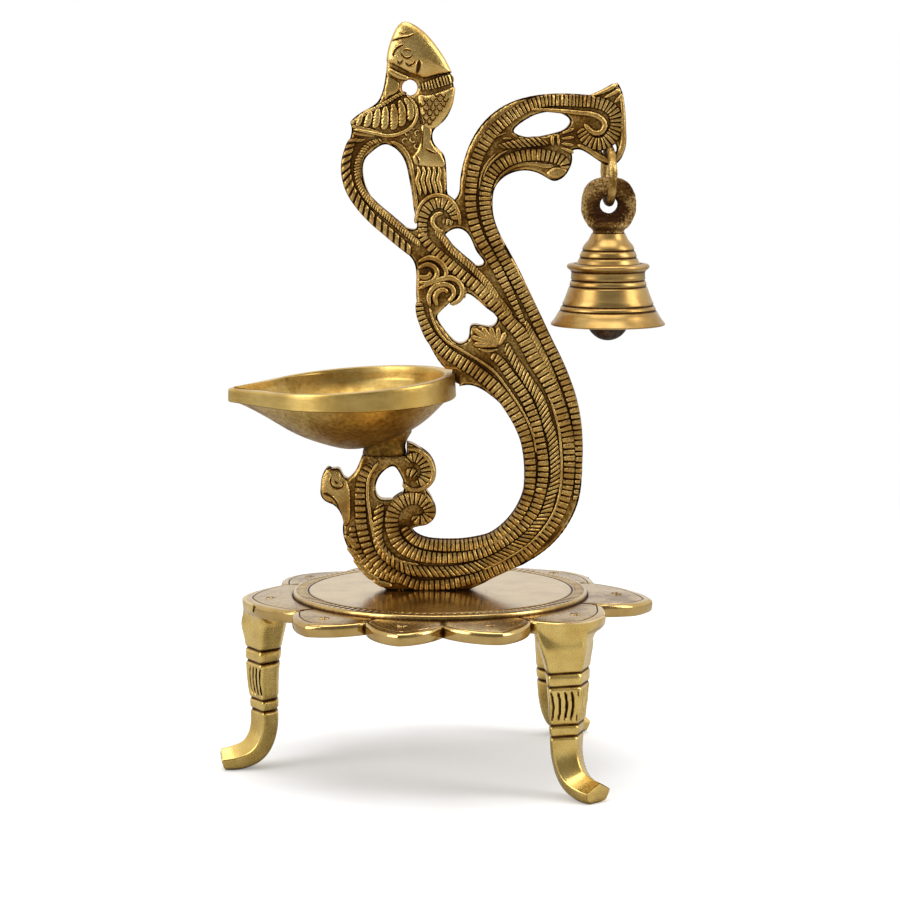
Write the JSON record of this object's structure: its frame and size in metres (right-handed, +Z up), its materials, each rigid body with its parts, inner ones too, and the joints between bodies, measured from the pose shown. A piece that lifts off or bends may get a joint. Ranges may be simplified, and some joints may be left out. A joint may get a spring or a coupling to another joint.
{
  "type": "standing oil lamp",
  "caption": "Brass standing oil lamp: a lotus plate on three bent legs carries an openwork bird scroll with a spouted lamp bowl and a hanging bell.",
  "frame": {"origin": "on the floor under the middle of the plate", "axes": "+Z up, +X to the side where the bell hangs, -X to the lamp's spout, -Y to the front; the scroll stands in the XZ plane"},
  "size_m": [0.1251, 0.112, 0.2098],
  "materials": {
    "bright_brass": "filed and polished cast brass, bright yellow, with dark engraved lines",
    "antique_brass": "cast brass, relief polished on its high points and dark brown in its recesses",
    "satin_brass": "satin brass, finely brushed rim, pitted inside",
    "turned_brass": "lathe-turned brass with dark grooves",
    "dark_brass": "rough dark cast brass",
    "blackened_brass": "blackened brass ball",
    "plain_brass": "plain brass hardware"
  },
  "bodies": {
    "root": {"base_plate": "bright_brass", "leg_left": "bright_brass", "leg_front": "bright_brass", "leg_rear": "bright_brass", "peacock_scroll": "antique_brass", "scroll_washers": "plain_brass", "scroll_screws": "plain_brass", "lamp_bowl": "satin_brass"},
    "ring": {"bell_ring": "dark_brass"},
    "bell": {"bell_dome": "turned_brass", "bell_loop": "dark_brass"},
    "link": {"clapper_link": "dark_brass"},
    "clapper": {"clapper": "blackened_brass"}
  },
  "joints": [
    {"name": "ring_swing", "type": "hinge", "parent": "root", "child": "ring", "pos_m": [0.0469, 0, 0.17505], "axis": [0, 1, 0], "range_deg": [-35, 1]},
    {"name": "bell_swing", "type": "hinge", "parent": "ring", "child": "bell", "pos_m": [0.0469, 0, 0.16015], "axis": [0, 1, 0], "range_deg": [-40, 1]},
    {"name": "link_swing", "type": "hinge", "parent": "bell", "child": "link", "pos_m": [0.0469, 0, 0.1472], "axis": [0, 1, 0], "range_deg": [-8, 8]},
    {"name": "clapper_swing", "type": "hinge", "parent": "link", "child": "clapper", "pos_m": [0.0469, 0, 0.1424], "axis": [0, 1, 0], "range_deg": [-12, 12]}
  ]
}
